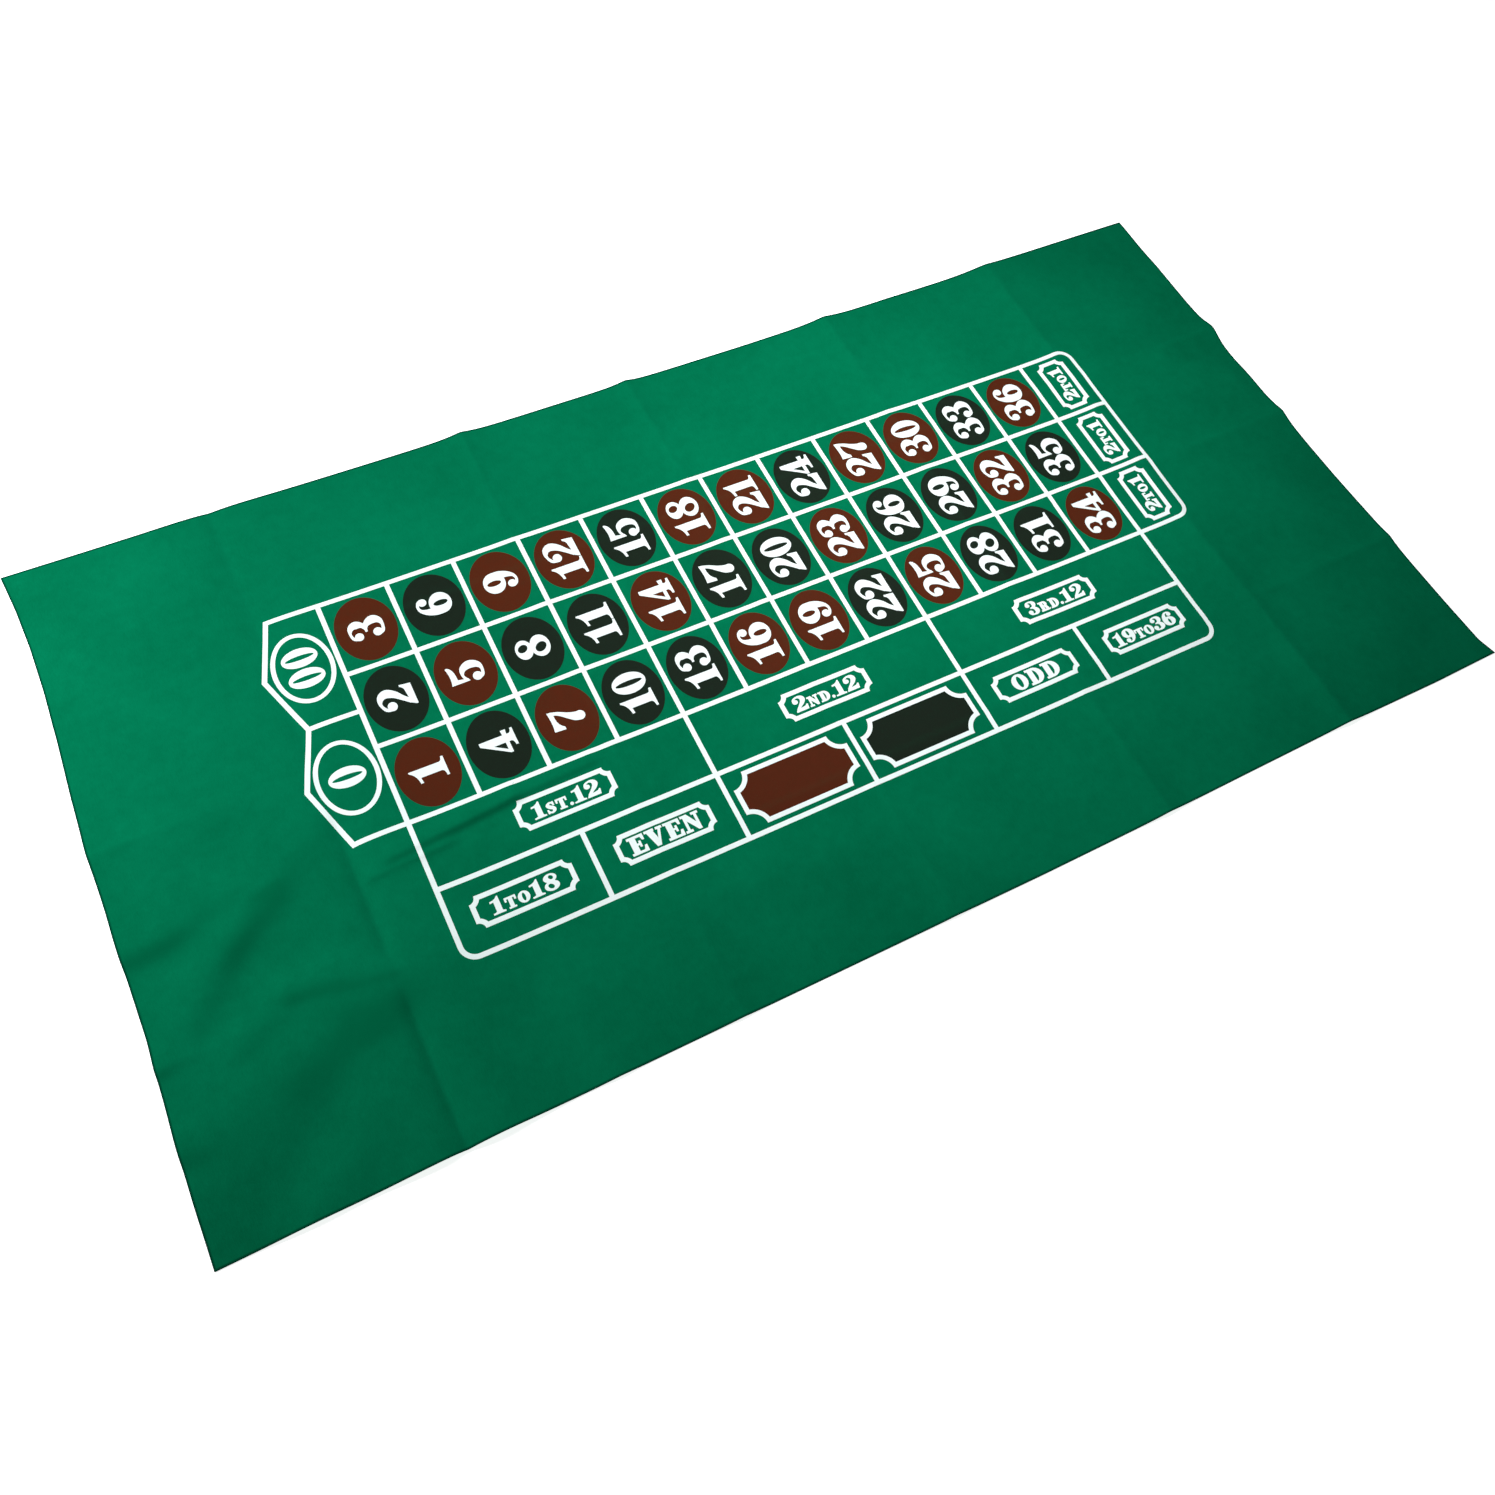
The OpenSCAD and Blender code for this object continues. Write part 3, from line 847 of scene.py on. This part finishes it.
@dataclass(frozen=True)
class FeltFinish:
    """The green felt: matted, deep in colour, with almost no gloss.

    Attributes:
        deep: Colour between the fibres.
        raised: Colour of the fibres that stand up.
        rim_shade: Colour of the painted shade along the raw rim.
        fold_highlight: Colour of the painted highlight along a fold.
        rough: Roughness between the fibres and on them.
        fibre_share: Share of the single fibres in the colour; the nap has the rest.
        fold_highlight_share: How far a fold takes its painted highlight.
        flank_shade_share: How far the painted shade on the swells' flanks takes the deep colour.
        rim_shade_share: How far the rim takes its painted shade.
        rim_shade_ease: How evenly the rim's painted shade fades; 1 is quite evenly.
        fuzz_depth: Depth of the fibres' relief, in metres.
        fuzz_strength: How strongly that relief shows.
        sheen: Strength of the soft light that the fuzz gathers.
        sheen_rough: How widely it is gathered.
        sheen_tint: Its colour.
        gloss: Strength of the mirror reflection.
    """

    deep: Colour = (0.0002, 0.099, 0.0410)
    raised: Colour = (0.0008, 0.166, 0.0740)
    # painted shade of the cut rim
    rim_shade: Colour = (0.0002, 0.018, 0.010)
    # painted highlight along the folds
    fold_highlight: Colour = (0.0012, 0.172, 0.080)
    rough: Point = (0.88, 1.0)
    fibre_share: float = 0.6
    fold_highlight_share: float = 0.08
    flank_shade_share: float = 0.6
    rim_shade_share: float = 0.95
    rim_shade_ease: float = 0.6
    fuzz_depth: float = 0.00050
    fuzz_strength: float = 0.45
    sheen: float = 0.06
    sheen_rough: float = 0.6
    sheen_tint: Colour = (0.02, 0.75, 0.42)
    gloss: float = 0.0

    def make(self, fibres: NodeTree) -> Material:
        """Builds the material.

        Args:
            fibres: The fibre node group.

        Returns:
            The finished material.
        """
        material, board, shader = open_material("green_felt")
        hair = board.add("ShaderNodeGroup", node_tree=fibres)
        board.feed(hair, Vector=board.place(), Density=1.0)
        share = board.weigh(hair.outputs["Fibres"], hair.outputs["Nap"], self.fibre_share)
        # painted highlight along the folds
        on_fold = board.maths("MULTIPLY", board.mark(FOLD_ATTRIBUTE), self.fold_highlight_share)
        # painted shade on the swells' near flanks, toward the deep colour
        on_flank_shade = board.maths("MULTIPLY", board.mark(FLANK_SHADE_ATTRIBUTE), self.flank_shade_share)
        # painted shade along the cut rim
        rim = board.maths("POWER", board.mark(RIM_ATTRIBUTE), self.rim_shade_ease)
        green = board.blend(share, self.deep, self.raised)
        highlit_and_shaded = board.blend(on_flank_shade, board.blend(on_fold, green, self.fold_highlight), self.deep)
        board.feed(
            shader,
            Base_Color=board.blend(board.maths("MULTIPLY", rim, self.rim_shade_share), highlit_and_shaded, self.rim_shade),
            Roughness=board.spread(hair.outputs["Fibres"], (0.0, 1.0), self.rough),
            Normal=board.relief(hair.outputs["Height"], self.fuzz_depth, self.fuzz_strength),
            Sheen_Weight=self.sheen,
            Sheen_Roughness=self.sheen_rough,
            Sheen_Tint=self.sheen_tint,
            Specular_IOR_Level=self.gloss,
        )
        return material


@dataclass(frozen=True)
class InkFinish:
    """A screen-printed ink lying on the felt's nap.

    Attributes:
        name: The material's name.
        full: Colour where the ink lies thick.
        thin: Colour where it lies thin.
        gaps: How far a pinhole lets the felt show.
        rough: Roughness where the ink lies thick and thin.
        gloss: Strength of the mirror reflection.
        felt: Colour of the felt that shows through.
        fibre_density: How close the fibres stand under the ink, against bare felt.
        mottle_share: Share of the mottle in the ink's thinness; the fibres have the rest.
        rub_share: How far the ink is rubbed off the fibres on a fold.
        nap_depth: Depth of the nap's relief under the ink, in metres.
        nap_strength: How strongly that relief shows.
    """

    name: str
    full: Colour
    thin: Colour
    gaps: float = 0.20
    rough: Point = (0.6, 0.85)
    gloss: float = 0.03
    felt: Colour = (0.002, 0.110, 0.046)
    fibre_density: float = 0.9
    mottle_share: float = 0.55
    rub_share: float = 0.08
    nap_depth: float = 0.00035
    nap_strength: float = 0.16

    def make(self, fibres: NodeTree, coverage: NodeTree) -> Material:
        """Builds the material.

        Args:
            fibres: The fibre node group.
            coverage: The ink coverage node group.

        Returns:
            The finished material.
        """
        material, board, shader = open_material(self.name)
        place = board.place()
        hair = board.add("ShaderNodeGroup", node_tree=fibres)
        board.feed(hair, Vector=place, Density=self.fibre_density)
        cover = board.add("ShaderNodeGroup", node_tree=coverage)
        board.feed(cover, Vector=place, Gaps=self.gaps)
        thinness = board.weigh(cover.outputs["Mottle"], hair.outputs["Fibres"], self.mottle_share)
        ink = board.blend(thinness, self.full, self.thin)
        on_fold = board.maths("MULTIPLY", board.mark(FOLD_ATTRIBUTE), hair.outputs["Fibres"])
        rubbed = board.maths("MULTIPLY", on_fold, self.rub_share)
        worn = board.maths("MAXIMUM", rubbed, cover.outputs["Pinholes"])
        board.feed(
            shader,
            Base_Color=board.blend(worn, ink, self.felt),
            Roughness=board.spread(thinness, (0.0, 1.0), self.rough),
            Normal=board.relief(hair.outputs["Height"], self.nap_depth, self.nap_strength),
            Specular_IOR_Level=self.gloss,
        )
        return material


@dataclass
class FinishSet:
    """Every finish of the cloth, made once, and the finished material of each slot."""

    felt: FeltFinish = FeltFinish()
    white: InkFinish = InkFinish(
        "white_print", (0.82, 0.90, 0.89), (0.73, 0.84, 0.82), gaps=0.10, rough=(0.55, 0.8), gloss=0.25
    )
    red: InkFinish = InkFinish("oxblood_print", (0.074, 0.0130, 0.0040), (0.063, 0.0150, 0.0055))
    black: InkFinish = InkFinish("black_print", (0.0080, 0.0132, 0.0082), (0.0084, 0.0160, 0.0100))
    made: dict[Slot, Material] = field(default_factory=dict)

    def build(self) -> None:
        """Makes the shared node groups and the four materials."""
        fibres, coverage = FibreGroup().build(), CoverageGroup().build()
        self.made = {
            Slot.FELT: self.felt.make(fibres),
            Slot.WHITE: self.white.make(fibres, coverage),
            Slot.RED: self.red.make(fibres, coverage),
            Slot.BLACK: self.black.make(fibres, coverage),
        }


# ---- Pieces ----


def put(name: str, data: bpy.types.ID) -> Object:
    """Puts a new object with that name and data in the scene.

    Args:
        name: The object's name.
        data: Its mesh, lamp or camera.

    Returns:
        The object.
    """
    thing = bpy.data.objects.new(name, data)
    bpy.context.scene.collection.objects.link(thing)
    return thing


def show_piece(name: str, mesh: Mesh, slot: Slot, finishes: FinishSet, nodes: Iterable[str]) -> Object:
    """Puts a finished mesh in the scene as a piece of the object.

    Args:
        name: The piece's name.
        mesh: Its mesh, in place.
        slot: The material slot that its finish comes from.
        finishes: The finished materials.
        nodes: The CAD nodes that it stands for.

    Returns:
        The piece.
    """
    mesh.materials.clear()
    mesh.materials.append(finishes.made[slot])
    piece = put(name, mesh)
    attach(piece, "root")
    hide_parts(*nodes)
    log.info("%s: %d faces, %s", name, len(mesh.polygons), slot.value)
    return piece


@dataclass
class FeltSheet:
    """The felt itself: one continuous sheet with a top, an underside and a raw cut rim."""

    lie: ClothLie
    thickness: float
    sharp_angle: float = 50.0  # degrees of bend that show as an edge

    def mesh(self) -> Mesh:
        """Builds the sheet.

        Returns:
            The sheet's closed mesh, laid.
        """
        bm = bmesh.new()
        columns, rows = self.lie.columns, self.lie.rows
        bmesh.ops.create_grid(bm, x_segments=len(columns) - 1, y_segments=len(rows) - 1, size=0.5)
        # the even grid, one unit long and deep, is spread to the sheet's own lines
        for v in bm.verts:
            v.co.x = columns[round((v.co.x + 0.5) * (len(columns) - 1))]
            v.co.y = rows[round((v.co.y + 0.5) * (len(rows) - 1))]
        top = bmesh.ops.extrude_face_region(bm, geom=bm.faces[:], use_keep_orig=True)
        raised = [g for g in top["geom"] if isinstance(g, bmesh.types.BMVert)]
        bmesh.ops.translate(bm, vec=(0, 0, self.thickness), verts=raised)
        bmesh.ops.recalc_face_normals(bm, faces=bm.faces)
        mesh = bpy.data.meshes.new("felt_sheet")
        bm.to_mesh(mesh)
        bm.free()
        self.lie.settle(mesh)
        mesh.shade_smooth()
        mesh.set_sharp_from_angle(angle=math.radians(self.sharp_angle))
        return mesh

    def build(self, finishes: FinishSet) -> Object:
        """Builds and dresses the sheet as one piece."""
        return show_piece("felt_sheet", self.mesh(), Slot.FELT, finishes, [CLOTH])


@dataclass
class Print:
    """One printed piece of the layout: a CAD node's flat print, cut on the sheet's grid and laid on it."""

    node: str
    slot: Slot
    lie: ClothLie

    def cut(self, bm: bmesh.types.BMesh, axis: int, lines: np.ndarray) -> None:
        """Cuts the flat piece along the sheet's grid lines on one axis.

        Args:
            bm: The piece's mesh.
            axis: 0 to cut along the length, 1 along the depth.
            lines: The grid's places on that axis.
        """
        places = [v.co[axis] for v in bm.verts]
        normal = Vector((1, 0, 0)) if axis == 0 else Vector((0, 1, 0))
        for line in lines[(lines > min(places)) & (lines < max(places))]:
            bmesh.ops.bisect_plane(
                bm,
                geom=bm.verts[:] + bm.edges[:] + bm.faces[:],
                dist=MERGE_DISTANCE,
                plane_co=normal * line,
                plane_no=normal,
            )

    def mesh(self) -> Mesh:
        """Builds the print's mesh.

        Returns:
            The print's closed mesh, laid on the sheet.
        """
        bm = bmesh.new()
        bm.from_mesh(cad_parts[self.node].data)
        bmesh.ops.remove_doubles(bm, verts=bm.verts, dist=MERGE_DISTANCE)
        self.cut(bm, 0, self.lie.columns)
        self.cut(bm, 1, self.lie.rows)
        mesh = bpy.data.meshes.new(self.node + "_print")
        bm.to_mesh(mesh)
        bm.free()
        self.follow(mesh, self.lie.settle(mesh))
        return mesh

    @staticmethod
    def follow(mesh: Mesh, cloth_normals: np.ndarray) -> None:
        """Shades the print's flat faces with the cloth's own normals, so that it shows no facets.

        Args:
            mesh: The laid print.
            cloth_normals: The cloth's normal under each vertex.
        """
        corners = np.empty(len(mesh.loops), dtype=np.int32)
        mesh.loops.foreach_get("vertex_index", corners)
        faces = np.empty(len(mesh.polygons) * 3)
        mesh.polygons.foreach_get("normal", faces)
        counts = np.empty(len(mesh.polygons), dtype=np.int32)
        mesh.polygons.foreach_get("loop_total", counts)
        normals = np.repeat(faces.reshape(-1, 3), counts, axis=0)
        level = np.abs(normals[:, 2]) > LEVEL_FACE
        normals[level] = cloth_normals[corners[level]] * np.sign(normals[level, 2])[:, None]
        mesh.shade_smooth()
        mesh.normals_split_custom_set(normals.tolist())

    def build(self, finishes: FinishSet) -> Object:
        """Builds and dresses the print as one piece."""
        return show_piece(self.node + "_print", self.mesh(), self.slot, finishes, [self.node])


@dataclass(frozen=True)
class PrintGroup:
    """A part of the printed layout, as the CAD nodes that it is made of in each ink."""

    title: str
    white: Names
    red: Names = ()
    black: Names = ()

    def build(self, lie: ClothLie, finishes: FinishSet) -> list[Object]:
        """Builds every print of the group.

        Args:
            lie: The laid cloth.
            finishes: The finished materials.

        Returns:
            The prints' pieces.
        """
        inks = {Slot.WHITE: self.white, Slot.RED: self.red, Slot.BLACK: self.black}
        made = [Print(node, slot, lie).build(finishes) for slot, nodes in inks.items() for node in nodes]
        log.info("%s: %d prints", self.title, len(made))
        return made


@dataclass(frozen=True)
class NumberGrid(PrintGroup):
    """The thirty-six numbers on their oval spots, inside the grid's lines."""

    title: str = "number grid"
    white: Names = (
        "number_grid_lines", "bottom_row_numerals", "middle_row_numerals", "top_row_numerals"
    )
    red: Names = ("red_number_spots",)
    black: Names = ("black_number_spots",)


@dataclass(frozen=True)
class ZeroBlock(PrintGroup):
    """The two pointed boxes of the zero and the double zero."""

    title: str = "zero block"
    white: Names = (
        "zero_block_outline", "zero_ring", "zero_numeral", "double_zero_ring", "double_zero_numerals"
    )


@dataclass(frozen=True)
class DozenBets(PrintGroup):
    """The three dozen boxes with their labels."""

    title: str = "dozen bets"
    white: Names = (
        "dozen_bet_lines", "first_dozen_label", "second_dozen_label", "third_dozen_label"
    )


@dataclass(frozen=True)
class OutsideBets(PrintGroup):
    """The six even-money boxes: four labels and the two coloured plaques."""

    title: str = "outside bets"
    white: Names = (
        "outside_bet_lines", "low_bet_label", "even_bet_label", "odd_bet_label", "high_bet_label",
        "red_bet_frame", "black_bet_frame",
    )
    red: Names = ("red_bet_plaque",)
    black: Names = ("black_bet_plaque",)


@dataclass(frozen=True)
class ColumnBets(PrintGroup):
    """The three column boxes at the right end with their labels."""

    title: str = "column bets"
    white: Names = (
        "column_bet_lines", "bottom_column_label", "middle_column_label", "top_column_label"
    )


# ---- The room it is seen in ----


@dataclass(frozen=True)
class Lamp:
    """A soft square lamp: where it hangs and faces in metres, its power in watts, and its side."""

    name: str
    place: Place
    aim: Place
    power: float
    size: float = 0.4
    tint: Colour = (1.0, 1.0, 1.0)

    def light(self) -> None:
        """Hangs the lamp."""
        data = bpy.data.lights.new(self.name, "AREA")
        data.shape, data.size, data.energy, data.color = "SQUARE", self.size, self.power, self.tint
        lamp = put(self.name, data)
        lamp.location = self.place
        lamp.rotation_mode = "QUATERNION"
        lamp.rotation_quaternion = (Vector(self.aim) - Vector(self.place)).to_track_quat("-Z", "Y")
        lamp.visible_camera = False


@dataclass
class Studio:
    """The pale floor, the soft lamps and the camera.

    Attributes:
        floor_size: Length of the floor's side, in metres.
        floor_tone: The floor's colour.
        floor_grain: The pattern of its faint clouds.
        floor_shade: How much darker they are.
        floor_rough: Its roughness.
        floor_gloss: Strength of its mirror reflection.
        floor_glow: Its own light, which keeps it pale under every lamp.
        world_tone: The colour of the light all round.
        world_power: Strength of that light on the cloth.
        backdrop_power: Strength of it where the camera looks past the floor.
        camera_place: Where the camera stands, in metres.
        camera_turn: How it is turned about x, y and z, in degrees.
        lens: Its focal length, in millimetres.
        sensor: Width of its sensor, in millimetres.
        clip: The nearest and the farthest distance that it sees, in metres.
        lamps: The lamps.
    """

    floor_size: float = 24.0
    floor_tone: Colour = (0.93, 0.935, 0.935)
    floor_grain: Grain = Grain(3.0, 2.0)
    floor_shade: float = 0.985
    floor_rough: float = 0.9
    floor_gloss: float = 0.1
    floor_glow: float = 0.90
    world_tone: Colour = (1.0, 1.0, 1.0)
    world_power: float = 0.08
    backdrop_power: float = 0.95
    camera_place: Place = (-0.5874, -0.7115, 1.4252)
    camera_turn: Place = (26.02, -5.81, -26.91)
    lens: float = 29.82
    sensor: float = 36.0
    clip: Point = (0.05, 50.0)
    lamps: tuple[Lamp, ...] = (
        Lamp("middle_lamp", (0.31, 0.22, 0.88), (0.31, 0.22, 0.0), power=9.3),
        Lamp("layout_lamp", (-0.10, 0.02, 0.55), (-0.10, 0.02, 0.0), power=0.60),
        Lamp("window_lamp", (-1.50, 0.46, 0.94), (0.90, 0.60, 0.0), power=29.5, tint=(0.97, 0.99, 1.0)),
    )

    def lay_floor(self) -> Object:
        """Lays the floor.

        Returns:
            The floor, marked as stage.
        """
        bm = bmesh.new()
        bmesh.ops.create_grid(bm, x_segments=1, y_segments=1, size=self.floor_size / 2)
        mesh = bpy.data.meshes.new("floor")
        bm.to_mesh(mesh)
        bm.free()
        floor = put("floor", mesh)
        material, board, shader = open_material("pale_floor")
        shaded = tuple(self.floor_shade * channel for channel in self.floor_tone)
        tone = board.blend(board.noise(board.place(), self.floor_grain), self.floor_tone, shaded)
        board.feed(
            shader,
            Base_Color=tone,
            Roughness=self.floor_rough,
            Specular_IOR_Level=self.floor_gloss,
            Emission_Color=tone,
            Emission_Strength=self.floor_glow,
        )
        mesh.materials.append(material)
        return floor

    def light(self) -> None:
        """Sets the soft light all round and hangs the lamps."""
        world = bpy.data.worlds.new("soft_room")
        world.use_nodes = True
        board = NodeBoard(world.node_tree)
        fill = world.node_tree.nodes["Background"]
        board.feed(fill, Color=self.world_tone, Strength=self.world_power)
        backdrop = board.add("ShaderNodeBackground")
        board.feed(backdrop, Color=self.world_tone, Strength=self.backdrop_power)
        choice = board.add("ShaderNodeMixShader")
        wires = world.node_tree.links
        wires.new(board.add("ShaderNodeLightPath").outputs["Is Camera Ray"], choice.inputs[0])
        wires.new(fill.outputs[0], choice.inputs[1])
        wires.new(backdrop.outputs[0], choice.inputs[2])
        wires.new(choice.outputs[0], world.node_tree.nodes["World Output"].inputs[0])
        bpy.context.scene.world = world
        for lamp in self.lamps:
            lamp.light()

    def set_camera(self) -> None:
        """Stands the camera over the near left corner."""
        data = bpy.data.cameras.new("camera")
        data.sensor_width, data.lens = self.sensor, self.lens
        data.clip_start, data.clip_end = self.clip
        camera = put("camera", data)
        camera.location = self.camera_place
        camera.rotation_euler = tuple(math.radians(a) for a in self.camera_turn)
        bpy.context.scene.camera = camera
        bpy.context.scene.view_settings.view_transform = "Standard"

    def build(self) -> Object:
        """Builds the room.

        Returns:
            The floor.
        """
        floor = self.lay_floor()
        self.light()
        self.set_camera()
        return floor


def main() -> None:
    """Builds the cloth, its prints and the room."""
    logging.basicConfig(level=logging.INFO, format="%(message)s")
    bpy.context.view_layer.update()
    low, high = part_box(CLOTH)
    lie = ClothLie(length=high.x - low.x, depth=high.y - low.y)
    finishes = FinishSet()
    finishes.build()
    floor = Studio().build()
    sheet = FeltSheet(lie, high.z - low.z).build(finishes)
    groups: Sequence[PrintGroup] = (NumberGrid(), ZeroBlock(), DozenBets(), OutsideBets(), ColumnBets())
    prints = [piece for group in groups for piece in group.build(lie, finishes)]
    log.info("cloth and %d prints are in place", len(prints))


if __name__ == "__main__":
    main()
